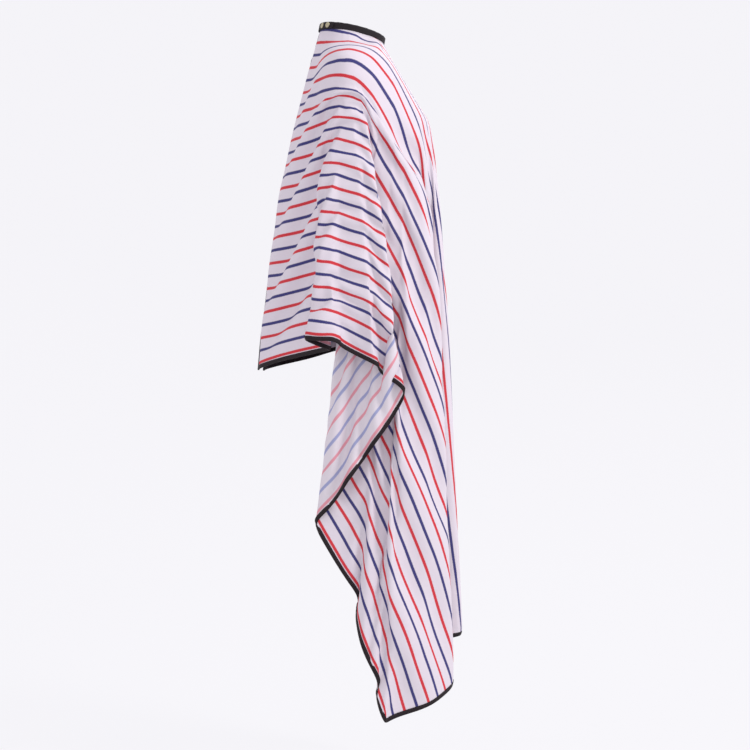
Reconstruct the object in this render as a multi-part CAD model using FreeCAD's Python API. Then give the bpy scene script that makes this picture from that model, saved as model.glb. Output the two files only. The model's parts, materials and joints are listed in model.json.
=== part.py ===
import FreeCAD, Part
import math
import os

# A barber cape, closed at the nape and hanging as it does when it is worn. Millimetres.
# The origin is the centre of the neck opening and +Z is up. The wearer faces -Y, so the
# wearer's right side is -X. Bearings round the neckband are degrees from the nape
# towards the wearer's right.

# Neckband: a folded tape of three plies, sewn to the cloth's neck edge.
NECK_RADIUS = 64.0
BAND_HEIGHT = 14.0
BAND_TILT = 12.0
PLY = 2.0 / 3
BAND_RADIUS = NECK_RADIUS + 3 * PLY
BAND_GAP = 1.0
BAND_END = -12.0

# Closure tab: a short strap of three thinner plies, sewn over the left end of the band.
TAB_CLEARANCE = 0.8
TAB_PLY = 0.6
TAB_INNER = BAND_RADIUS + TAB_CLEARANCE
TAB_OUTER = TAB_INNER + 3 * TAB_PLY
TAB_HINGE = -13.0
TAB_HINGE_GAP = 0.3
TAB_SEWN_END = -35.0
TAB_FREE_END = 56.0
TAB_HEIGHT = 13.0

# Two snaps: caps and sockets on the tab, studs and their backs on the band.
SNAP_BEARINGS = (28.0, 44.0)
CAP_RADIUS = 5.6
CAP_HEIGHT = 1.4
CAP_ROUNDING = 1.0
RIVET_RADIUS = 1.4
SOCKET_RADIUS = 5.2
SOCKET_BORE = 2.6
STUD_FLANGE_RADIUS = 4.6
STUD_FLANGE = 0.4
STUD_RADIUS = 1.6
STUD_REACH = 1.1
BACK_RADIUS = 4.6
HOLE_CLEARANCE = 0.1
# A flat disc under a curved ply stops short of it by at least the ply's rise at its edge.
PLY_RISE = 0.25

# Cloth: one uncut piece, its hang given by level sections as
# (tilt, level at the middle, half width, reach to the back, reach to the front).
CLOTH = 2.0
SECTIONS = (
    (12.0, -38.0, 104.0, 84.0, 84.0),
    (6.0, -84.0, 176.0, 98.0, 100.0),
    (2.0, -140.0, 214.0, 110.0, 130.0),
    (0.0, -210.0, 228.0, 123.0, 168.0),
    (0.0, -420.0, 240.0, 156.0, 182.0),
    (0.0, -700.0, 250.0, 192.0, 198.0),
    (0.0, -1000.0, 232.0, 192.0, 216.0),
    (0.0, -1400.0, 216.0, 192.0, 232.0),
)
SECTION_POINTS = 16
SQUARENESS = 0.86

# The hem as it hangs, seen from the side, as (forwards, level).
BACK_CORNER = (-192.0, -670.0)
SIDE_LOW = (0.0, -668.0)
SIDE_FOLD = (108.0, -708.0)
FOLD_SWEEP = (-14.0, -868.0)
SIDE_NOTCH = (-72.0, -958.0)
FRONT_SWEEP = (6.0, -1172.0)
FRONT_CORNER = (64.0, -1348.0)
FRONT_LOW = (140.0, -1336.0)
FRONT_MIDDLE = (232.0, -1190.0)
BEYOND = 90.0

# Binding tape folded over every cut edge.
BINDING_WIDTH = 8.0
BINDING_PLY = 0.8
CORNER_GAP = 2.5
SLIT_HALF = 5.0

RIGHT, LEFT = -1, 1
BIG = 1600.0


def export(name, shape):
    solids = shape.Solids
    assert solids and all(s.isValid() and s.Volume > 0 for s in solids), name
    whole = solids[0] if len(solids) == 1 else Part.makeCompound(solids)
    whole.exportStep("parts/%s.step" % name)
    volume = sum(s.Volume for s in solids)
    print("%-24s %2d solid(s) %10.1f mm3" % (name, len(solids), volume))


def tilted(shape):
    """Turns a shape made about the vertical so that it lies on the band's own axis."""
    turned = shape.copy()
    turned.rotate(FreeCAD.Vector(), FreeCAD.Vector(1, 0, 0), BAND_TILT)
    return turned


def bearing(radius, angle, level=0.0):
    a = math.radians(angle)
    return FreeCAD.Vector(-radius * math.sin(a), radius * math.cos(a), level)


def sector(inner, outer, start, end, height):
    """A curved strip about the vertical, between two radii and two bearings."""
    low, middle = -height / 2, (start + end) / 2
    outside = Part.Arc(*[bearing(outer, a, low) for a in (start, middle, end)])
    inside = Part.Arc(*[bearing(inner, a, low) for a in (end, middle, start)])
    ends = [
        Part.LineSegment(outside.EndPoint, inside.StartPoint),
        Part.LineSegment(inside.EndPoint, outside.StartPoint),
    ]
    edges = [c.toShape() for c in (outside, ends[0], inside, ends[1])]
    return Part.Face(Part.Wire(edges)).extrude(FreeCAD.Vector(0, 0, height))


def stub(radius, start, end, angle):
    """A cylinder along the line that leaves the neck at a bearing."""
    return Part.makeCylinder(radius, end - start, bearing(start, angle), bearing(1, angle))


def cap(angle):
    """A snap cap: a disc with a rounded crown, and the rivet through the tab's face."""
    top = TAB_OUTER + CAP_HEIGHT
    disc = stub(CAP_RADIUS, TAB_OUTER, top, angle)
    crown = max(disc.Edges, key=lambda e: e.CenterOfMass.dot(bearing(1, angle)))
    rivet = stub(RIVET_RADIUS, TAB_OUTER - TAB_PLY, TAB_OUTER, angle)
    return disc.makeFillet(CAP_ROUNDING, [crown]).fuse(rivet).removeSplitter()


def socket(angle):
    top = TAB_OUTER - TAB_PLY - PLY_RISE
    ring = stub(SOCKET_RADIUS, TAB_INNER, top, angle)
    return ring.cut(stub(SOCKET_BORE, TAB_INNER, top, angle))


def stud(angle):
    flange = stub(STUD_FLANGE_RADIUS, BAND_RADIUS, BAND_RADIUS + STUD_FLANGE, angle)
    foot = BAND_RADIUS + STUD_FLANGE
    return flange.fuse(stub(STUD_RADIUS, foot, foot + STUD_REACH, angle)).removeSplitter()


def stud_back(angle):
    top = NECK_RADIUS + PLY - PLY_RISE
    disc = stub(BACK_RADIUS, NECK_RADIUS, top, angle)
    rivet = stub(RIVET_RADIUS, top, BAND_RADIUS, angle)
    return disc.fuse(rivet).removeSplitter()


def pierced(strip, hole_radius):
    """A strip with a round hole for each snap."""
    reach = (NECK_RADIUS / 2, NECK_RADIUS * 2)
    return strip.cut([stub(hole_radius, *reach, angle) for angle in SNAP_BEARINGS])


def neckband():
    start = BAND_END + math.degrees(BAND_GAP / NECK_RADIUS) - 360
    holes = (BACK_RADIUS + HOLE_CLEARANCE, RIVET_RADIUS, RIVET_RADIUS)
    names = ("neckband_lining", "neckband_interlining", "neckband_outer")
    for layer, (name, hole) in enumerate(zip(names, holes)):
        inner = NECK_RADIUS + layer * PLY
        strip = sector(inner, inner + PLY, start + 360, BAND_END + 360, BAND_HEIGHT)
        export(name, tilted(pierced(strip, hole)))


def closure_tab():
    gap = math.degrees(TAB_HINGE_GAP / TAB_INNER)
    sewn = sector(BAND_RADIUS, TAB_OUTER, TAB_SEWN_END, TAB_HINGE - gap, TAB_HEIGHT)
    export("tab_sewn_end", tilted(sewn))
    wide = SOCKET_RADIUS + HOLE_CLEARANCE
    holes = (wide, wide, RIVET_RADIUS)
    names = ("tab_lining", "tab_interlining", "tab_outer")
    for layer, (name, hole) in enumerate(zip(names, holes)):
        inner = TAB_INNER + layer * TAB_PLY
        strip = sector(inner, inner + TAB_PLY, TAB_HINGE, TAB_FREE_END, TAB_HEIGHT)
        export(name, tilted(pierced(strip, hole)))


def snaps():
    kinds = {
        "snap_caps": cap,
        "snap_sockets": socket,
        "snap_studs": stud,
        "snap_stud_backs": stud_back,
    }
    for name, make in kinds.items():
        export(name, tilted(Part.makeCompound([make(a) for a in SNAP_BEARINGS])))


def loop(tilt, level, half_width, back, front, in_plane=0.0):
    """A smooth closed section: rounder than a box and squarer than an ellipse."""
    points = []
    for k in range(SECTION_POINTS):
        a = 2 * math.pi * k / SECTION_POINTS
        s, c = math.sin(a), math.cos(a)
        x = -half_width * math.copysign(abs(s) ** SQUARENESS, s)
        y = (back if c > 0 else front) * c
        points.append(FreeCAD.Vector(x, y, in_plane))
    curve = Part.BSplineCurve()
    curve.interpolate(Points=points, PeriodicFlag=True)
    wire = Part.Wire(curve.toShape())
    wire.rotate(FreeCAD.Vector(), FreeCAD.Vector(1, 0, 0), tilt)
    wire.translate(FreeCAD.Vector(0, 0, level))
    return wire


def hang(grow):
    """The solid that the cloth wraps, made larger or smaller all round by grow."""
    neck = BAND_RADIUS + grow
    wires = [loop(BAND_TILT, 0.0, neck, neck, neck, -BAND_HEIGHT / 2)]
    for tilt, level, half_width, back, front in SECTIONS:
        sizes = [size + grow for size in (half_width, back, front)]
        wires.append(loop(tilt, level + grow, *sizes))
    return Part.makeLoft(wires, True, False)


def side(point):
    """A side-view point as a place on the wearer's middle plane."""
    return FreeCAD.Vector(-BIG / 2, -point[0], point[1])


def hem_outline():
    """The side view's outline: arcs along the hem, and straight lines well clear above."""
    behind = (BACK_CORNER[0] - BEYOND, BACK_CORNER[1])
    ahead = (FRONT_MIDDLE[0] + BEYOND, FRONT_MIDDLE[1])
    arcs = (
        (BACK_CORNER, SIDE_LOW, SIDE_FOLD),
        (SIDE_FOLD, FOLD_SWEEP, SIDE_NOTCH),
        (SIDE_NOTCH, FRONT_SWEEP, FRONT_CORNER),
        (FRONT_CORNER, FRONT_LOW, FRONT_MIDDLE),
    )
    edges = [Part.LineSegment(side(behind), side(BACK_CORNER)).toShape()]
    edges += [Part.Arc(*[side(p) for p in arc]).toShape() for arc in arcs]
    corners = (FRONT_MIDDLE, ahead, (ahead[0], BEYOND), (behind[0], BEYOND), behind)
    edges += [
        Part.LineSegment(side(p), side(q)).toShape() for p, q in zip(corners, corners[1:])
    ]
    return Part.Face(Part.Wire(edges))


def prism(face):
    return face.extrude(FreeCAD.Vector(BIG, 0, 0))


def slab(x_low, x_high, y_low, y_high, z_low, z_high):
    size = (x_high - x_low, y_high - y_low, z_high - z_low)
    return Part.makeBox(*size, FreeCAD.Vector(x_low, y_low, z_low))


def cloth_and_bindings():
    outline = hem_outline()
    cloth = hang(0.0).cut(hang(-CLOTH)).common(prism(outline))
    cloth = cloth.cut(slab(-SLIT_HALF, SLIT_HALF, 0, BIG, -BIG, BIG))
    export("cape_cloth", cloth)

    wrap = hang(BINDING_PLY).cut(hang(-CLOTH - BINDING_PLY))
    edge_band = outline.makeOffset2D(BINDING_PLY).cut(outline.makeOffset2D(-BINDING_WIDTH))
    hem = wrap.common(prism(edge_band)).cut(cloth)
    front_low = slab(-BIG, BIG, -BIG, -FRONT_CORNER[0], -BIG, FRONT_MIDDLE[1] + BEYOND)
    export("front_binding", hem.common(front_low))
    sides = hem.cut(front_low)
    beside = SLIT_HALF - BINDING_PLY
    for name, way in (("right", RIGHT), ("left", LEFT)):
        half = sorted((way * beside, way * BIG))
        export("side_binding_" + name, sides.common(slab(*half, -BIG, BIG, -BIG, BIG)))
        strip = sorted((way * beside, way * (SLIT_HALF + BINDING_WIDTH)))
        top = BACK_CORNER[1] + BINDING_WIDTH + CORNER_GAP
        tape = wrap.common(slab(*strip, 0, BIG, top, BIG)).cut(cloth)
        export("back_binding_" + name, tape)


os.makedirs("parts", exist_ok=True)
neckband()
closure_tab()
snaps()
cloth_and_bindings()
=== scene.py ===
import json
import math
import bmesh
import bpy
import numpy as np
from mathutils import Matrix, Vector


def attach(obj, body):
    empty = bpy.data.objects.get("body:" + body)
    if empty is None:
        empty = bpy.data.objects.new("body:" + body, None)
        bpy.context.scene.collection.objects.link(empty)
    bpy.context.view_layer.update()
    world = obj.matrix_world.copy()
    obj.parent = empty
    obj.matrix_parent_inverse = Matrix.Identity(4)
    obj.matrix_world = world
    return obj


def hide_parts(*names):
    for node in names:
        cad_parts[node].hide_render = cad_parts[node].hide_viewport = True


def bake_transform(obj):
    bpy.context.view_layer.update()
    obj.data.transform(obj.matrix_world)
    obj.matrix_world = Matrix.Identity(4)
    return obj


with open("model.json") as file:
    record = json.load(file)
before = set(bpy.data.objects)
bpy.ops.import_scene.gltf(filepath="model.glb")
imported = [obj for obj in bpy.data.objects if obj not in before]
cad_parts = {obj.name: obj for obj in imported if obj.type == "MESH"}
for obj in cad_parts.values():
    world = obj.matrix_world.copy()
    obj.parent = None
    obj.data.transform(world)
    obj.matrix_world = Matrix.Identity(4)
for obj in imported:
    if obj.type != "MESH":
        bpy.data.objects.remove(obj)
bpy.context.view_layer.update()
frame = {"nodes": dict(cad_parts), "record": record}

# The looks of a barber cape, closed at the nape and hanging as it does when it is worn.
# Metres. The wearer faces -Y and the wearer's right side is -X. Bearings are degrees
# round the neckband from the nape towards the wearer's right.
RIGHT, LEFT = -1, 1

# ---------------------------------------------------------------- the neckband's place
neck = frame["record"]["mounts"][0]
NECK_RADIUS = neck["dims"]["r_mm"] / 1000
BAND_HEIGHT = neck["dims"]["length_mm"] / 1000
BAND_TILT = math.atan2(-neck["axis"][1], neck["axis"][2])
BAND_THICKNESS = 0.002
BAND_JOIN = -12.0
# The band's ends are this many degrees apart, and its inside is this far out from the neck.
BAND_GAP = 0.9
BAND_HOLLOW = 0.00015
BAND_PUCKER = 0.00016
BAND_STEPS = 720

# The closure tab lies flat on the band where it is sewn, and rises over the snaps past its
# bend. The rise starts at the bend and ends TAB_RISE degrees after it.
TAB_SEWN_END = -35.0
TAB_FREE_END = 56.0
TAB_BEND = -13.0
TAB_RISE = 12
TAB_HEIGHT = 0.013
TAB_THICKNESS = 0.0017
TAB_CLEARANCE = 0.0001
TAB_INNER = 0.0668
TAB_OUTER = 0.0686
TAB_TIP = 5.0
TIP_SHARE = 0.45
TAB_PUCKER = 0.00010
TAB_STEPS = 260

# ---------------------------------------------------------------- the cloth, cut flat
# Flat places are (across, along): across from the middle of the back, and along from the
# back edge to the front edge. The stripes run along.
NECK_HALF = 0.065
NECK_DEPTH = 0.18
NECK_SQUARENESS = 0.75
NECK_STEPS = 400
STRIPE_PITCH = 0.0245
CLOTH_THICKNESS = 0.0005
SEAM_RADIUS = 0.0651
SEAM_LEVEL = -0.005
THROAT = 180

# Each fold runs from the neckline to the hem. It is given by its bearing on the band, by
# its flat places a quarter of the way down and at the hem, and by where it hangs at each
# quarter of its length, as (out from the middle, forwards, level).
FOLDS = (
    # the edge of the back slit, which laps past the middle, and the middle of the back
    (0, (0.234, 0.0), (0.74, 0.0), (
        (-0.024, -0.108, -0.164), (-0.018, -0.145, -0.329),
        (-0.017, -0.170, -0.501), (-0.019, -0.193, -0.675))),
    (8, (0.234, 0.018), (0.74, 0.024), (
        (0.000, -0.118, -0.163), (0.002, -0.152, -0.328),
        (0.004, -0.175, -0.500), (0.004, -0.198, -0.674))),
    # the pleat behind the arm: its inner crease, and the ridge that lies over it
    (40, (0.235, 0.180), (0.74, 0.265), (
        (0.155, -0.055, -0.130), (0.164, -0.045, -0.300),
        (0.180, -0.040, -0.470), (0.186, -0.036, -0.644))),
    (48, (0.232, 0.198), (0.74, 0.330), (
        (0.166, -0.042, -0.122), (0.190, -0.062, -0.280),
        (0.206, -0.076, -0.445), (0.214, -0.088, -0.610))),
    (57, (0.227, 0.214), (0.74, 0.390), (
        (0.176, -0.027, -0.115), (0.203, -0.034, -0.282),
        (0.222, -0.034, -0.452), (0.234, -0.032, -0.613))),
    # the valley in the arm's panel
    (66, (0.222, 0.224), (0.74, 0.412), (
        (0.182, -0.016, -0.111), (0.200, -0.021, -0.285),
        (0.212, -0.019, -0.458), (0.222, -0.019, -0.620))),
    # the ridge in front of it, the foot of its steep side, and the arm's front crease
    (72, (0.218, 0.243), (0.74, 0.488), (
        (0.187, 0.002, -0.112), (0.216, 0.014, -0.293),
        (0.233, 0.030, -0.474), (0.245, 0.041, -0.654))),
    (77, (0.215, 0.252), (0.74, 0.509), (
        (0.186, 0.010, -0.115), (0.208, 0.024, -0.298),
        (0.222, 0.040, -0.480), (0.231, 0.051, -0.661))),
    (82, (0.212, 0.262), (0.74, 0.576), (
        (0.187, 0.020, -0.118), (0.219, 0.052, -0.310),
        (0.234, 0.078, -0.508), (0.239, 0.099, -0.702))),
    (87, (0.216, 0.277), (0.74, 0.672), (
        (0.181, 0.028, -0.132), (0.202, 0.040, -0.348),
        (0.206, 0.050, -0.563), (0.207, 0.062, -0.785))),
    (92, (0.219, 0.292), (0.74, 0.750), (
        (0.178, 0.037, -0.146), (0.193, 0.022, -0.380),
        (0.192, 0.018, -0.606), (0.190, 0.027, -0.832))),
    (102, (0.225, 0.325), (0.74, 0.926), (
        (0.176, 0.056, -0.177), (0.176, 0.000, -0.456),
        (0.168, -0.040, -0.710), (0.150, -0.072, -0.955))),
    # the side of the front panel
    (110, (0.228, 0.375), (0.74, 1.105), (
        (0.170, 0.084, -0.222), (0.167, 0.065, -0.519),
        (0.164, 0.038, -0.813), (0.162, 0.015, -1.107))),
    (118, (0.230, 0.415), (0.74, 1.278), (
        (0.163, 0.105, -0.258), (0.175, 0.088, -0.591),
        (0.186, 0.070, -0.925), (0.198, 0.053, -1.258))),
    # the front panel's corner, its ridge, and the flutes across the front
    (128, (0.222, 0.447), (0.74, 1.36), (
        (0.155, 0.118, -0.285), (0.178, 0.100, -0.633),
        (0.194, 0.082, -0.982), (0.212, 0.068, -1.330))),
    (135, (0.195, 0.456), (0.655, 1.36), (
        (0.146, 0.143, -0.293), (0.168, 0.146, -0.634),
        (0.179, 0.144, -0.972), (0.186, 0.134, -1.312))),
    (143, (0.168, 0.462), (0.57, 1.36), (
        (0.125, 0.162, -0.298), (0.138, 0.180, -0.626),
        (0.138, 0.194, -0.955), (0.138, 0.190, -1.283))),
    (156, (0.108, 0.470), (0.36, 1.36), (
        (0.080, 0.166, -0.298), (0.080, 0.118, -0.602),
        (0.082, 0.070, -0.907), (0.090, 0.026, -1.213))),
    (168, (0.052, 0.474), (0.17, 1.36), (
        (0.042, 0.174, -0.296), (0.049, 0.190, -0.593),
        (0.055, 0.206, -0.890), (0.062, 0.221, -1.188))),
    (180, (0.0, 0.475), (0.0, 1.36), (
        (0.0, 0.168, -0.296), (0.0, 0.136, -0.589),
        (0.0, 0.108, -0.883), (0.0, 0.080, -1.177))),
)
CORNER_FOLD = 14

# The far half folds alike, but not as an exact mirror image. Its folds sway inwards, and
# forwards or back, in waves along the bearing, and their feet shift along the hem. Those up
# to BACK_END are only tucked forwards, so that the near half laps over them.
SWAY = 0.010
INWARD_WAVE = 20
FORWARD_WAVE = 16
HEM_SHIFT = 0.010
TUCK = 0.013
BACK_END = 15

# The wearer's shoulders and chest, as (level, half width, back, front).
FORM = np.array((
    (0.020, 0.058, 0.058, 0.058), (-0.020, 0.064, 0.060, 0.060),
    (-0.040, 0.112, 0.064, 0.070), (-0.058, 0.160, 0.068, 0.080),
    (-0.080, 0.186, 0.073, 0.094), (-0.120, 0.194, 0.083, 0.118),
    (-0.180, 0.182, 0.093, 0.156), (-0.250, 0.160, 0.105, 0.165),
    (-0.400, 0.135, 0.115, 0.140), (-0.600, 0.120, 0.115, 0.100),
))

# ---------------------------------------------------------------- settling the cloth
ROWS = 37
HEM_STEP = 0.038
STEP_TIME = 0.002
GRAVITY = 9.81
SHEAR_GIVE = 2e-6
BEND_GIVE = 1e-3
TOP_SPEED = 2.0
# The share of its speed that cloth keeps on the wearer, and the furthest one push moves it.
SLIDE = 0.8
PUSH_LIMIT = 0.01
# Places this many gaps apart on the flat cloth count as different layers. Layers are looked
# for once in a number of steps, and parted by a fraction of what they lack.
LAYER_REACH = 3
LAYER_EVERY = 4
LAYER_SOFTNESS = 4
# The folds' pull grows down the cloth, from nothing a sixth of the way down.
PULL_SLOPE = 1.2
PULL_DELAY = 0.2
# The settled cloth and its flat places are evened out this many times, by these shares.
SMOOTHINGS = 6
EVEN_INSIDE = 0.4
EVEN_HEM = 0.5
# (steps, share of gravity, damping, pull of the folds, gap kept between layers)
STAGES = (
    (500, 1.0, 0.985, 0.08, 0.0),
    (200, 0.3, 0.97, 0.04, 0.010),
    (80, 0.1, 0.94, 0.02, 0.007),
)


def neckline(share):
    """The half notch on the flat cloth, from the nape, 0, to the throat, 1."""
    a = np.linspace(0, math.pi / 2, NECK_STEPS)
    across = NECK_HALF * np.cos(a) ** NECK_SQUARENESS
    along = NECK_DEPTH * np.sin(a) ** NECK_SQUARENESS
    run = np.hypot(np.diff(across), np.diff(along)).cumsum()
    run = np.concatenate([[0], run]) / run[-1]
    return np.stack([np.interp(share, run, across), np.interp(share, run, along)], -1)


def on_band(bearing, radius, level):
    """Points on the neckband's own axis."""
    a = np.radians(np.asarray(bearing, float))
    x, y = -radius * np.sin(a), radius * np.cos(a)
    c, s = math.cos(BAND_TILT), math.sin(BAND_TILT)
    return np.stack([x + 0 * level, y * c - level * s, y * s + level * c], -1)


def seam(share, side):
    """Where the cloth is sewn into the band: each half starts at the band's join."""
    start = BAND_JOIN if side == RIGHT else -BAND_JOIN
    bearing = start + share * (THROAT - start)
    return on_band(-side * bearing, SEAM_RADIUS, SEAM_LEVEL)


def far_fold(fold):
    """A fold of the far half, moved a little from the mirror image of the near one."""
    bearing, quarter, (across, along), path = fold
    if bearing == THROAT:
        return fold
    if bearing < BACK_END:
        return bearing, quarter, (across, along), tuple((w, f + TUCK, z) for w, f, z in path)
    corner = FOLDS[CORNER_FOLD][0]
    shift = HEM_SHIFT * math.sin(2 * math.pi * bearing / corner)
    if bearing < corner:
        along += shift
    else:
        across += shift
    moved = []
    for number, (w, f, z) in enumerate(path, 1):
        reach = SWAY * number / len(path)
        moved.append((w - reach * math.sin(bearing / INWARD_WAVE) ** 2,
                      f + reach * math.sin(bearing / FORWARD_WAVE), z))
    return bearing, quarter, (across, along), tuple(moved)


def along_line(points, knots, share):
    """Points at shares of the way along a line through a few given points."""
    return np.stack([np.interp(share[:, 0], knots, axis) for axis in np.array(points).T], 1)


def half_cloth(folds, side, counts, rows):
    """Flat and hanging points of one half. Columns run from the nape to the throat. The
    neckline's own curve fades out down the cloth."""
    share = np.linspace(0, 1, rows)[:, None]
    fade = (1 - share) ** 3
    lines = []
    for bearing, quarter, foot, path in folds:
        cut = along_line((neckline(bearing / THROAT), quarter, foot), (0, 0.25, 1), share)
        points = [seam(bearing / THROAT, side)]
        points += [(side * w, -f, z) for w, f, z in path]
        hang = along_line(points, np.linspace(0, 1, len(points)), share)
        lines.append((bearing, cut, hang))
    flat, hung = [], []
    for count, (b0, flat0, hung0), (b1, flat1, hung1) in zip(counts, lines, lines[1:]):
        for mix in np.arange(count) / count:
            turn = (b0 + mix * (b1 - b0)) / THROAT
            mixed_flat = flat0 + mix * (flat1 - flat0)
            mixed_hung = hung0 + mix * (hung1 - hung0)
            flat.append(mixed_flat + fade * (neckline(turn) - mixed_flat[0]))
            hung.append(mixed_hung + fade * (seam(turn, side) - mixed_hung[0]))
    flat.append(lines[-1][1])
    hung.append(lines[-1][2])
    return np.stack(flat, 1), np.stack(hung, 1)


def cloth_grid(level):
    """The whole cloth at a level of fineness, with the columns that are folds."""
    far = tuple(far_fold(fold) for fold in FOLDS)
    feet = np.array([foot for _, _, foot, _ in FOLDS])
    lengths = np.hypot(*np.diff(feet, axis=0).T)
    counts = [max(2, round(length / HEM_STEP)) * 2**level for length in lengths]
    rows = (ROWS - 1) * 2**level + 1
    flat_right, hung_right = half_cloth(FOLDS, RIGHT, counts, rows)
    flat_left, hung_left = half_cloth(far, LEFT, counts, rows)
    flat_left = flat_left * (-1, 1)
    flat = np.concatenate([flat_right, flat_left[:, -2::-1]], 1)
    hung = np.concatenate([hung_right, hung_left[:, -2::-1]], 1)
    starts = np.concatenate([[0], np.cumsum(counts)])
    last = flat.shape[1] - 1
    columns = list(starts) + [last - k for k in starts[-2::-1]]
    return flat, hung, columns


def press(points):
    """Moves points out of the wearer, and says which ones touch."""
    levels, widths, backs, fronts = FORM[::-1].T
    x, y, z = points.T
    tiny = 1e-3

    def inside(level):
        half = np.interp(level, levels, widths)
        deep = np.interp(level, levels, backs)
        deep = np.where(y < 0, np.interp(level, levels, fronts), deep)
        return (x / half) ** 2 + (y / deep) ** 2 - 1, half, deep

    value, half, deep = inside(z)
    rise = (inside(z + tiny)[0] - value) / tiny
    slope = np.stack([2 * x / half**2, 2 * y / deep**2, rise], 1)
    steep = np.linalg.norm(slope, axis=1) + 1e-9
    touching = (value < 0) & (z > levels[0]) & (z < levels[-1])
    push = np.where(touching, np.minimum(-value / steep, PUSH_LIMIT), 0)
    points += (push / steep)[:, None] * slope
    return touching


class Cloth:
    """A grid of points joined by threads, which shear easily and bend a little stiffly."""

    def __init__(self, flat, place):
        self.flat = flat
        self.place = place.copy()
        self.speed = np.zeros_like(place)
        self.free = np.ones(flat.shape[:2])
        self.free[0] = 0
        self.threads = []
        rows, columns = flat.shape[:2]
        every = slice(None)
        for start in (0, 1):
            low, high = self.pairs(rows, start, 1)
            left, right = self.pairs(columns, start, 1)
            self.join((low, every), (high, every), 0.0, False)
            self.join((every, left), (every, right), 0.0, False)
            before, after = slice(0, columns - 1), slice(1, columns)
            self.join((low, before), (high, after), SHEAR_GIVE, False)
            self.join((low, after), (high, before), SHEAR_GIVE, False)
        for start in range(4):
            low, high = self.pairs(rows, start, 2)
            left, right = self.pairs(columns, start, 2)
            self.join((low, every), (high, every), BEND_GIVE, True)
            self.join((every, left), (every, right), BEND_GIVE, True)

    @staticmethod
    def pairs(count, start, gap):
        """Slices of points and of those gap further on, no point in two pairs."""
        stride = 2 * gap
        number = max(0, (count - gap - start + stride - 1) // stride)
        end = start + stride * (number - 1) + 1 if number else start
        return slice(start, end, stride), slice(start + gap, end + gap, stride)

    def join(self, first, second, give, only_push):
        length = np.linalg.norm(self.flat[first] - self.flat[second], axis=2)
        self.threads.append((first, second, length, give / STEP_TIME**2, only_push))

    def tighten(self):
        for first, second, length, give, only_push in self.threads:
            a, b = self.place[first], self.place[second]
            free_a, free_b = self.free[first], self.free[second]
            gap = b - a
            size = np.sqrt((gap * gap).sum(2)) + 1e-12
            error = size - length
            if only_push:
                error = np.minimum(error, 0)
            gap *= (error / (free_a + free_b + give + 1e-12) / size)[..., None]
            self.place[first] = a + gap * free_a[..., None]
            self.place[second] = b - gap * free_b[..., None]

    def settle(self, steps, weight, damping, pull, target, thick):
        fall = np.array((0, 0, -GRAVITY * weight * STEP_TIME**2))
        pinned = self.place[0].copy()
        place = self.place
        apart = np.zeros_like(place)
        for step in range(steps):
            before = place.copy()
            place[1:] += self.speed[1:] * STEP_TIME + fall
            self.tighten()
            place += pull[..., None] * (target - place)
            if thick:
                if step % LAYER_EVERY == 0:
                    apart = layers_apart(place, self.flat, thick)
                place += apart
            below = place[1:].reshape(-1, 3)
            touching = press(below)
            place[1:] = below.reshape(place[1:].shape)
            place[0] = pinned
            speed = (place - before) / STEP_TIME
            speed[1:].reshape(-1, 3)[touching] *= SLIDE
            fast = np.linalg.norm(speed, axis=2, keepdims=True)
            speed *= np.minimum(1, TOP_SPEED / np.maximum(fast, 1e-9))
            self.speed = speed * damping


def layers_apart(place, flat, thick):
    """Steps that part two layers of cloth where they are nearer than thick. Only points in
    the same cell or in cells side by side are compared."""
    points, cut = place.reshape(-1, 3), flat.reshape(-1, 2)
    cell = np.floor(points / thick).astype(np.int64)
    cell -= cell.min(0) - 1
    _, wide, high = cell.max(0) + 2
    key = (cell[:, 0] * wide + cell[:, 1]) * high + cell[:, 2]
    order = np.argsort(key, kind="stable")
    keys = key[order]
    total = len(points)
    pairs = []
    near = (-1, 0, 1)
    for offset in ((i * wide + j) * high + k for i in near for j in near for k in near):
        if offset < 0:
            # the other cell's own turn finds these pairs
            continue
        low = np.searchsorted(keys, keys + offset, "left")
        count = np.searchsorted(keys, keys + offset, "right") - low
        first = np.repeat(np.arange(total), count)
        skip = np.repeat(low - np.concatenate([[0], count.cumsum()[:-1]]), count)
        second = np.arange(len(first)) + skip
        keep = second > first
        pairs.append((order[first[keep]], order[second[keep]]))
    a = np.concatenate([p for p, _ in pairs])
    b = np.concatenate([q for _, q in pairs])
    gap = points[b] - points[a]
    size = np.linalg.norm(gap, axis=1) + 1e-9
    strangers = np.linalg.norm(cut[b] - cut[a], axis=1) > LAYER_REACH * thick
    chosen = strangers & (size < thick)
    a, b, gap, size = a[chosen], b[chosen], gap[chosen], size[chosen]
    push = gap * ((thick - size) / size / LAYER_SOFTNESS)[:, None]
    step = np.zeros_like(points)
    met = np.bincount(a, minlength=total) + np.bincount(b, minlength=total)
    for axis in range(3):
        step[:, axis] = np.bincount(b, push[:, axis], total)
        step[:, axis] -= np.bincount(a, push[:, axis], total)
    return (step / np.maximum(met, 1)[:, None]).reshape(place.shape)


def doubled(points):
    """Twice as many points along the first axis, on a smooth curve through the old ones."""
    first, last = 2 * points[:1] - points[1:2], 2 * points[-1:] - points[-2:-1]
    wide = np.concatenate([first, points, last])
    more = np.empty((2 * len(points) - 1,) + points.shape[1:])
    more[::2] = points
    more[1::2] = (9 * (wide[1:-2] + wide[2:-1]) - wide[:-3] - wide[3:]) / 16
    return more


def finer(grid):
    """Doubles a grid of points both ways."""
    return doubled(doubled(grid).swapaxes(0, 1)).swapaxes(0, 1)


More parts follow.
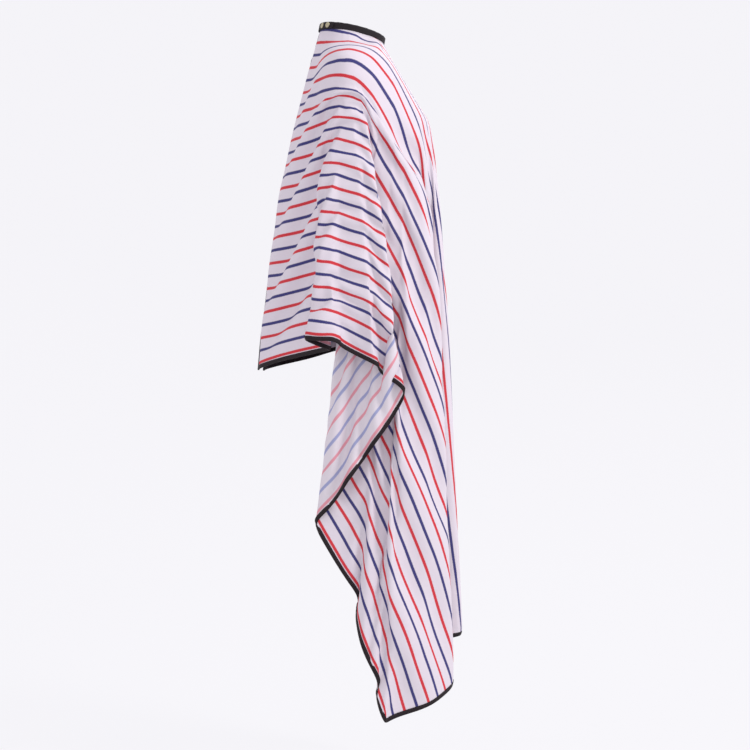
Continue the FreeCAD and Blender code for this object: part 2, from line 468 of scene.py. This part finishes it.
def smoothed(grid):
    """Evens out the places inside the edges, and the bound hem along its length."""
    grid = grid.copy()
    for _ in range(SMOOTHINGS):
        around = grid[:-2, 1:-1] + grid[2:, 1:-1] + grid[1:-1, :-2] + grid[1:-1, 2:]
        grid[1:-1, 1:-1] += EVEN_INSIDE * (around / 4 - grid[1:-1, 1:-1])
        beside = (grid[-1, :-2] + grid[-1, 2:]) / 2
        grid[-1, 1:-1] += EVEN_HEM * (beside - grid[-1, 1:-1])
    return grid


def hanging_cloth():
    """Settles the cloth from a coarse grid to a fine one. The slit's edges and the folds
    beside them are held from higher up than the rest."""
    place = None
    for level, (steps, weight, damping, pull, thick) in enumerate(STAGES):
        flat, hung, columns = cloth_grid(level)
        place = hung if place is None else finer(place)
        cloth = Cloth(flat, place)
        guide = np.zeros(flat.shape[:2])
        down = np.linspace(0, 1, len(flat))[:, None]
        guide[:, columns] = pull * np.clip(PULL_SLOPE * down - PULL_DELAY, 0, 1)
        guide[:, columns[:2] + columns[-2:]] = pull * np.sqrt(down)
        cloth.settle(steps, weight, damping, guide, hung, thick)
        place = cloth.place
    return smoothed(flat), smoothed(place), columns


# ---------------------------------------------------------------- meshes
UV_MAP = "cut"


def new_object(name, points, faces, *materials):
    mesh = bpy.data.meshes.new(name)
    mesh.from_pydata([tuple(point) for point in points], [], faces)
    for material in materials:
        mesh.materials.append(material)
    mesh.polygons.foreach_set("use_smooth", [True] * len(mesh.polygons))
    piece = bpy.data.objects.new(name, mesh)
    bpy.context.scene.collection.objects.link(piece)
    return piece


def grid_faces(rows, columns, closed=False):
    """Quads of a grid of points, joined round its columns if closed."""
    faces = []
    for i in range(rows - 1):
        for j in range(columns if closed else columns - 1):
            here, beside = i * columns + j, i * columns + (j + 1) % columns
            faces.append((here, here + columns, beside + columns, beside))
    return faces


def set_uv(piece, uv):
    """Gives each corner of each face its vertex's place in uv."""
    layer = piece.data.uv_layers.new(name=UV_MAP)
    corner = np.empty(len(piece.data.loops), int)
    piece.data.loops.foreach_get("vertex_index", corner)
    layer.data.foreach_set("uv", np.asarray(uv, float)[corner].ravel())


def swept(name, sections, material, across):
    """A closed tube through sections, [section, point, xyz], with flat ends. across is
    each section point's place across the tape."""
    count, around = sections.shape[:2]
    faces = grid_faces(count, around, closed=True)
    faces.append(tuple(range(around)))
    faces.append(tuple(range(count * around - 1, (count - 1) * around - 1, -1)))
    piece = new_object(name, sections.reshape(-1, 3), faces, material)
    run = np.linalg.norm(np.diff(sections.mean(1), axis=0), axis=1).cumsum()
    run = np.concatenate([[0], run])[:, None]
    uv = np.stack(np.broadcast_arrays(run, np.array(across)[None]), -1)
    set_uv(piece, uv.reshape(-1, 2))
    whole = bmesh.new()
    whole.from_mesh(piece.data)
    bmesh.ops.recalc_face_normals(whole, faces=whole.faces)
    whole.to_mesh(piece.data)
    whole.free()
    return piece


def unit(vectors):
    return vectors / (np.linalg.norm(vectors, axis=-1, keepdims=True) + 1e-12)


# ---------------------------------------------------------------- materials
# The stripes' half width and soft edge are shares of the way to the next stripe. Their edges
# have a fine jag and a slow wander.
STRIPE_HALF = 0.118
STRIPE_EDGE = 0.05
FIRST_STRIPE = 0.728
EDGE_JAG = 0.0012
JAG_SCALE = 420.0
EDGE_WANDER = 0.0016
WANDER_SCALE = 9.0
CLOUD_SCALE = 3.0
CRUMPLE_SCALE = 24.0
TWILL = 0.0011
# Whole turns added so that the fraction is taken of a positive number.
WHOLE_TURNS = 100

STITCH_PITCH = 0.0032
STITCH_SHARE = 0.68
THREAD_RADIUS = 0.00032
BINDING_STITCH = 0.0055
BAND_STITCH = 0.8
WEAR_SCALE = 180.0
SCUFF_SCALE = 900.0


class Look:
    """A material made of a Principled shader and the nodes that feed it."""

    def __init__(self, name, **sockets):
        self.material = bpy.data.materials.new(name)
        self.material.use_nodes = True
        self.tree = self.material.node_tree
        self.shader = self.tree.nodes["Principled BSDF"]
        for socket, value in sockets.items():
            self.shader.inputs[socket.replace("_", " ")].default_value = value

    def node(self, kind, inputs=(), **settings):
        made = self.tree.nodes.new("ShaderNode" + kind)
        for name, value in settings.items():
            setattr(made, name, value)
        for socket, value in dict(inputs).items():
            self.feed(made.inputs[socket], value)
        return made

    def feed(self, socket, value):
        if isinstance(value, bpy.types.NodeSocket):
            self.tree.links.new(value, socket)
        else:
            socket.default_value = value

    def math(self, operation, a, b=0.0, clamp=False):
        made = self.node("Math", {0: a, 1: b}, operation=operation, use_clamp=clamp)
        return made.outputs[0]

    def mix(self, factor, a, b):
        made = self.node("Mix", data_type="RGBA")
        for socket, value in ((made.inputs[0], factor), (made.inputs[6], a), (made.inputs[7], b)):
            self.feed(socket, value)
        return made.outputs[2]

    def uv(self):
        place = self.node("UVMap", uv_map=UV_MAP).outputs[0]
        return place, self.node("SeparateXYZ", {0: place})

    def noise(self, place, scale, detail=2.0):
        inputs = {"Vector": place, "Scale": scale, "Detail": detail}
        return self.node("TexNoise", inputs).outputs["Fac"]

    def bump(self, height, distance, strength, under=None):
        inputs = {"Height": height, "Distance": distance, "Strength": strength}
        made = self.node("Bump", inputs)
        if under is not None:
            self.feed(made.inputs["Normal"], under)
        return made.outputs[0]

    def ridge(self, value, period):
        """A wave between 0 and 1 that repeats at each period."""
        wave = self.math("SINE", self.math("MULTIPLY", value, 2 * math.pi / period))
        return self.math("ADD", self.math("MULTIPLY", wave, 0.5), 0.5)


def tinted(color, share):
    """A color with its three parts scaled."""
    return [share * part for part in color[:3]] + [1]


def striped(name, ground, red, navy):
    """Woven cloth with thin red and navy stripes by turns, in a fine twill."""
    look = Look(name, Roughness=0.75, Sheen_Weight=0.05, Sheen_Roughness=0.4,
                Specular_IOR_Level=0.2)
    place, cut = look.uv()
    across, along = cut.outputs[0], cut.outputs[1]
    jag = look.math("SUBTRACT", look.noise(place, JAG_SCALE), 0.5)
    wander = look.math("SUBTRACT", look.noise(place, WANDER_SCALE), 0.5)
    moved = look.math("ADD", across, look.math("MULTIPLY", jag, EDGE_JAG))
    moved = look.math("ADD", moved, look.math("MULTIPLY", wander, EDGE_WANDER))
    turns = look.math("DIVIDE", look.math("SUBTRACT", FIRST_STRIPE, moved), 2 * STRIPE_PITCH)
    saw = look.math("FRACT", look.math("ADD", turns, 0.5 + WHOLE_TURNS))
    red_gap = look.math("MULTIPLY", look.math("ABSOLUTE", look.math("SUBTRACT", saw, 0.5)), 2)
    navy_gap = look.math("SUBTRACT", 1.0, red_gap)
    weave = look.ridge(look.math("ADD", across, along), TWILL)
    cloudy = look.noise(place, CLOUD_SCALE)
    color = look.mix(look.math("MULTIPLY", cloudy, 0.5), ground, tinted(ground, 0.95))
    for gap, dye in ((red_gap, red), (navy_gap, navy)):
        inside = look.math("SUBTRACT", STRIPE_HALF + STRIPE_EDGE / 2, gap)
        share = look.math("DIVIDE", inside, STRIPE_EDGE, clamp=True)
        thread = look.math("SUBTRACT", 1.0, look.math("MULTIPLY", weave, 0.10))
        color = look.mix(look.math("MULTIPLY", share, thread), color, dye)
    look.feed(look.shader.inputs["Base Color"], color)
    fine = look.bump(weave, 0.00012, 0.5)
    crumple = look.bump(look.noise(place, CRUMPLE_SCALE, 3.0), 0.0035, 0.35, fine)
    look.feed(look.shader.inputs["Normal"], crumple)
    return look.material


def tape(name, color, rib, stitch_lines):
    """Ribbed black tape with painted shade on its ribs, and a stitched line along it at each
    place across.
    """
    look = Look(name, Roughness=0.7, Sheen_Weight=0.05, Sheen_Roughness=0.4,
                Specular_IOR_Level=0.2)
    place, cut = look.uv()
    along, across = cut.outputs[0], cut.outputs[1]
    ribs = look.ridge(along, rib)
    worn = look.noise(place, WEAR_SCALE)
    faded, painted_rib_shade, sewn = tinted(color, 2.2), tinted(color, 0.4), tinted(color, 5)
    shade = look.mix(look.math("MULTIPLY", worn, 0.6), color, faded)
    # Darker bands follow the ribs: this is painted shade of the ribbing, on top of their bump.
    shade = look.mix(look.math("MULTIPLY", ribs, 0.25), shade, painted_rib_shade)
    dash = look.math("FRACT", look.math("DIVIDE", along, STITCH_PITCH))
    dash = look.math("LESS_THAN", dash, STITCH_SHARE)
    thread = 0.0
    for line in stitch_lines:
        off = look.math("ABSOLUTE", look.math("SUBTRACT", across, line))
        near = look.math("LESS_THAN", off, THREAD_RADIUS)
        thread = look.math("ADD", thread, look.math("MULTIPLY", near, dash))
    thread = look.math("MINIMUM", thread, 1.0)
    shade = look.mix(look.math("MULTIPLY", thread, 0.8), shade, sewn)
    look.feed(look.shader.inputs["Base Color"], shade)
    height = look.math("ADD", look.math("MULTIPLY", ribs, 0.4), thread)
    look.feed(look.shader.inputs["Normal"], look.bump(height, 0.00025, 0.8))
    return look.material


def metal(name, color):
    """Plated snap metal, a little scuffed."""
    look = Look(name, Metallic=1.0)
    place = look.node("TexCoord").outputs["Object"]
    scuff = look.noise(place, SCUFF_SCALE, 4.0)
    shade = look.mix(look.math("MULTIPLY", scuff, 0.5), color, tinted(color, 0.6))
    look.feed(look.shader.inputs["Base Color"], shade)
    rough = look.math("ADD", 0.22, look.math("MULTIPLY", scuff, 0.22))
    look.feed(look.shader.inputs["Roughness"], rough)
    look.feed(look.shader.inputs["Normal"], look.bump(scuff, 0.00005, 0.5))
    return look.material


cloth_outside = striped("cloth_outside", (0.69, 0.625, 0.695, 1), (0.58, 0.006, 0.016, 1),
                        (0.012, 0.013, 0.14, 1))
cloth_inside = striped("cloth_inside", (0.70, 0.64, 0.70, 1), (0.70, 0.27, 0.33, 1),
                       (0.30, 0.32, 0.54, 1))
binding_tape = tape("binding_tape", (0.012, 0.008, 0.010, 1), 0.0009,
                    (BINDING_STITCH, -BINDING_STITCH))
band_tape = tape("band_tape", (0.012, 0.009, 0.011, 1), 0.0010,
                 (BAND_STITCH * BAND_HEIGHT / 2, -BAND_STITCH * BAND_HEIGHT / 2))
snap_metal = metal("plated_metal", (0.50, 0.44, 0.30, 1))

# ---------------------------------------------------------------- the cloth
flat, hang, columns = hanging_cloth()
rows, across = flat.shape[:2]
cape = new_object("striped_cape", hang.reshape(-1, 3), grid_faces(rows, across),
                  cloth_outside, cloth_inside)
set_uv(cape, flat.reshape(-1, 2))
skin = cape.modifiers.new("thickness", "SOLIDIFY")
skin.thickness = CLOTH_THICKNESS
skin.offset = -1
skin.material_offset = 1
skin.material_offset_rim = 0
bpy.context.view_layer.update()
shown = cape.evaluated_get(bpy.context.evaluated_depsgraph_get())
solid_cloth = bpy.data.meshes.new_from_object(shown)
cape.modifiers.clear()
cape.data = solid_cloth
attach(cape, "cape")
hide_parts("cape_cloth")

# ---------------------------------------------------------------- the bindings
# The tape's outside half section, as (in from the cut edge, out from the cloth).
TAPE_SECTION = (
    (0.0074, 0.0002), (0.0073, 0.0009), (0.0061, 0.0011), (0.0055, 0.0008),
    (0.0049, 0.0011), (0.0026, 0.0013), (0.0004, 0.0011), (-0.0005, 0.0007),
    (-0.0009, 0.0),
)
TAPE_END = 0.0009
INSIDE_REACH = 0.006


def steps_inside(cut):
    """For each row, how many columns in from the first one it is INSIDE_REACH away."""
    distance = np.linalg.norm(cut - cut[:, :1], axis=2)
    return (distance > INSIDE_REACH).argmax(1)


def inward(edge_cut, beside_cut, in_cut):
    """How a step square to the edge on the flat cloth mixes a step along the edge and one
    to a point inside."""
    out = np.stack([-beside_cut[..., 1], beside_cut[..., 0]], -1)
    to_inside = in_cut - edge_cut
    square = unit(out) * np.sign((out * to_inside).sum(-1, keepdims=True))
    det = beside_cut[..., 0] * to_inside[..., 1] - beside_cut[..., 1] * to_inside[..., 0]
    a = (square[..., 0] * to_inside[..., 1] - square[..., 1] * to_inside[..., 0]) / det
    b = (beside_cut[..., 0] * square[..., 1] - beside_cut[..., 1] * square[..., 0]) / det
    return a[..., None], b[..., None]


normals = unit(np.cross(np.gradient(hang, axis=0), np.gradient(hang, axis=1)))


def bind(name, node, edge, inside):
    """Folds a tape over one edge. edge and inside index the grid along the edge, and at
    points a little in from it."""
    cut, line = flat[edge], hang[edge]
    beside_cut, beside = np.gradient(cut, axis=0), np.gradient(line, axis=0)
    a, b = inward(cut, beside_cut, flat[inside])
    step = a * beside + b * (hang[inside] - line)
    step = unit(step)
    face = unit(np.cross(step, beside))
    face *= np.sign((face * normals[edge]).sum(-1, keepdims=True))
    line, step, face = (doubled(values) for values in (line, step, face))
    step, face = unit(step), unit(face)
    way = unit(np.gradient(line, axis=0))
    line[0] -= TAPE_END * way[0]
    line[-1] += TAPE_END * way[-1]
    under = [(d, -h - CLOTH_THICKNESS) for d, h in TAPE_SECTION[-2::-1]]
    outline = list(TAPE_SECTION) + under
    sections = [line + d * step + h * face for d, h in outline]
    places = [d if h >= 0 else -d for d, h in outline]
    piece = swept(name, np.stack(sections, 1), binding_tape, places)
    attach(piece, "cape")
    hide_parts(node)
    return piece


right_corner = columns[CORNER_FOLD]
left_corner = across - 1 - right_corner
down = np.arange(rows)
hem_parts = (
    ("side_binding_right", 0, right_corner),
    ("front_binding", right_corner, left_corner),
    ("side_binding_left", left_corner, across - 1),
)
for node, first, last in hem_parts:
    along_hem = np.arange(first, last + 1)
    bind("tape_" + node, node, (rows - 1, along_hem), (rows - 2, along_hem))
slit_parts = (
    ("back_binding_right", np.full(rows, 0), steps_inside(flat)),
    ("back_binding_left", np.full(rows, across - 1), across - 1 - steps_inside(flat[:, ::-1])),
)
for node, edge, inside in slit_parts:
    bind("tape_" + node, node, (down, edge), (down, inside))

# ---------------------------------------------------------------- neckband and tab
# A strap's outside half section, as (share of the half height, share sunk in).
STRAP_SECTION = (
    (1.0, 0.5), (0.985, 0.16), (0.93, 0.02), (0.84, 0.0), (0.8, 0.12), (0.76, 0.0),
    (0.4, -0.02), (0.0, -0.03), (-0.4, -0.02), (-0.76, 0.0), (-0.8, 0.12), (-0.84, 0.0),
    (-0.93, 0.02), (-0.985, 0.16), (-1.0, 0.5),
)


def waves(a, slow, quick, share, shift):
    """Two waves round the neck, the second of them smaller. slow and quick count the waves
    to the turn."""
    return np.sin(slow * a) + share * np.sin(quick * a + shift)


def strap(name, bearings, inner, outer, half, pucker, material):
    """A folded tape round the neck, between two radii."""
    middle, thick = (inner + outer) / 2, outer - inner
    a = np.radians(bearings)
    rise = pucker * waves(a, slow=23, quick=41, share=0.6, shift=1)
    swell = 0.4 * pucker * waves(a, slow=67, quick=103, share=0.7, shift=2)
    outline = [(share, 0.5 - sunk) for share, sunk in STRAP_SECTION]
    outline += [(share, sunk - 0.5) for share, sunk in STRAP_SECTION[-2:0:-1]]
    sections, places = [], []
    for share, out in outline:
        radius = middle + thick * out + swell * (1 - abs(share))
        sections.append(on_band(bearings, radius, half * share + rise))
        places.append(float(np.max(half)) * share)
    return swept(name, np.stack(sections, 1), material, places)


turn = np.linspace(BAND_JOIN + BAND_GAP, BAND_JOIN + 360, BAND_STEPS)
ones = np.ones_like(turn)
band = strap("neckband_tape", turn, (NECK_RADIUS + BAND_HOLLOW) * ones,
             (NECK_RADIUS + BAND_THICKNESS) * ones, BAND_HEIGHT / 2 * ones, BAND_PUCKER,
             band_tape)
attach(band, "cape")
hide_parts("neckband_outer", "neckband_interlining", "neckband_lining")

turn = np.linspace(TAB_SEWN_END, TAB_FREE_END, TAB_STEPS)
lift = np.clip((turn - TAB_BEND) / TAB_RISE, 0, 1)
lift = lift * lift * (3 - 2 * lift)
sewn_to = NECK_RADIUS + BAND_THICKNESS + TAB_CLEARANCE
inner = sewn_to + (TAB_INNER + TAB_CLEARANCE - sewn_to) * lift
outer = sewn_to + TAB_THICKNESS + (TAB_OUTER - sewn_to - TAB_THICKNESS) * lift
from_tip = np.clip((TAB_FREE_END - turn) / TAB_TIP, 0, 1)
round_tip = np.sqrt(1 - (1 - from_tip) ** 2)
half = TAB_HEIGHT / 2 * (TIP_SHARE + (1 - TIP_SHARE) * round_tip)
tab = strap("closure_tab_tape", turn, inner, outer, half, TAB_PUCKER, band_tape)
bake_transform(tab)
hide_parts("tab_sewn_end", "tab_outer", "tab_interlining", "tab_lining")

for node in ("snap_caps", "snap_sockets", "snap_studs", "snap_stud_backs"):
    data = frame["nodes"][node].data
    data.materials.clear()
    data.materials.append(snap_metal)

# ---------------------------------------------------------------- studio and camera
FLOOR_LEVEL = -1.5
FLOOR_RADIUS = 2.2
SWEEP_RADIUS = 2.6
WALL_TOP = 3.4
SWEEP_STEPS = 24
ROUND_STEPS = 96
LIGHT_AIM = (0, 0, -0.6)
WORLD_LIGHT = 0.7
CAMERA_OUT = 3.0
CAMERA_FORWARDS = 0.045
CAMERA_LEVEL = -0.679


def backdrop():
    """A pale floor that sweeps up into a round wall."""
    outline = [(0.0, FLOOR_LEVEL), (FLOOR_RADIUS / 2, FLOOR_LEVEL)]
    for a in np.linspace(0, math.pi / 2, SWEEP_STEPS):
        radius = FLOOR_RADIUS + SWEEP_RADIUS * math.sin(a)
        outline.append((radius, FLOOR_LEVEL + SWEEP_RADIUS * (1 - math.cos(a))))
    outline.append((FLOOR_RADIUS + SWEEP_RADIUS, WALL_TOP))
    turns = np.linspace(0, 2 * math.pi, ROUND_STEPS, endpoint=False)
    points = [(r * math.cos(a), r * math.sin(a), z) for r, z in outline[1:] for a in turns]
    faces = grid_faces(len(outline) - 1, len(turns), closed=True)
    faces.append(tuple(range(len(turns))))
    look = Look("pale_backdrop", Roughness=0.9, Base_Color=(0.08, 0.08, 0.08, 1),
                Emission_Color=(0.97, 0.96, 1.0, 1), Emission_Strength=0.86,
                Specular_IOR_Level=0.0)
    return new_object("backdrop", points, faces, look.material)


def area_light(name, place, size, power, color):
    lamp = bpy.data.lights.new(name, "AREA")
    lamp.shape = "DISK"
    lamp.size = size
    lamp.energy = power
    lamp.color = color
    made = bpy.data.objects.new(name, lamp)
    made.location = place
    aim = Vector(LIGHT_AIM) - Vector(place)
    made.rotation_euler = aim.to_track_quat("-Z", "Y").to_euler()
    bpy.context.scene.collection.objects.link(made)


backdrop()
area_light("key", (-2.0, -2.9, 1.7), 1.0, 84, (1.0, 0.98, 0.97))
area_light("fill", (-2.6, 2.4, 0.6), 2.4, 4, (0.95, 0.96, 1.0))
area_light("far_side", (2.8, -0.6, 1.4), 1.6, 36, (1.0, 0.99, 0.98))
area_light("top", (0.2, 0.2, 3.0), 2.4, 16, (1.0, 1.0, 1.0))

world = bpy.data.worlds.new("studio")
world.use_nodes = True
world.node_tree.nodes["Background"].inputs[0].default_value = (0.95, 0.95, 1.0, 1)
world.node_tree.nodes["Background"].inputs[1].default_value = WORLD_LIGHT
bpy.context.scene.world = world
bpy.context.scene.view_settings.view_transform = "Standard"

lens = bpy.data.cameras.new("camera")
lens.lens = 72
lens.sensor_width = 36
camera = bpy.data.objects.new("camera", lens)
camera.location = (RIGHT * CAMERA_OUT, -CAMERA_FORWARDS, CAMERA_LEVEL)
camera.rotation_euler = (math.pi / 2, 0, -math.pi / 2)
bpy.context.scene.collection.objects.link(camera)
bpy.context.scene.camera = camera
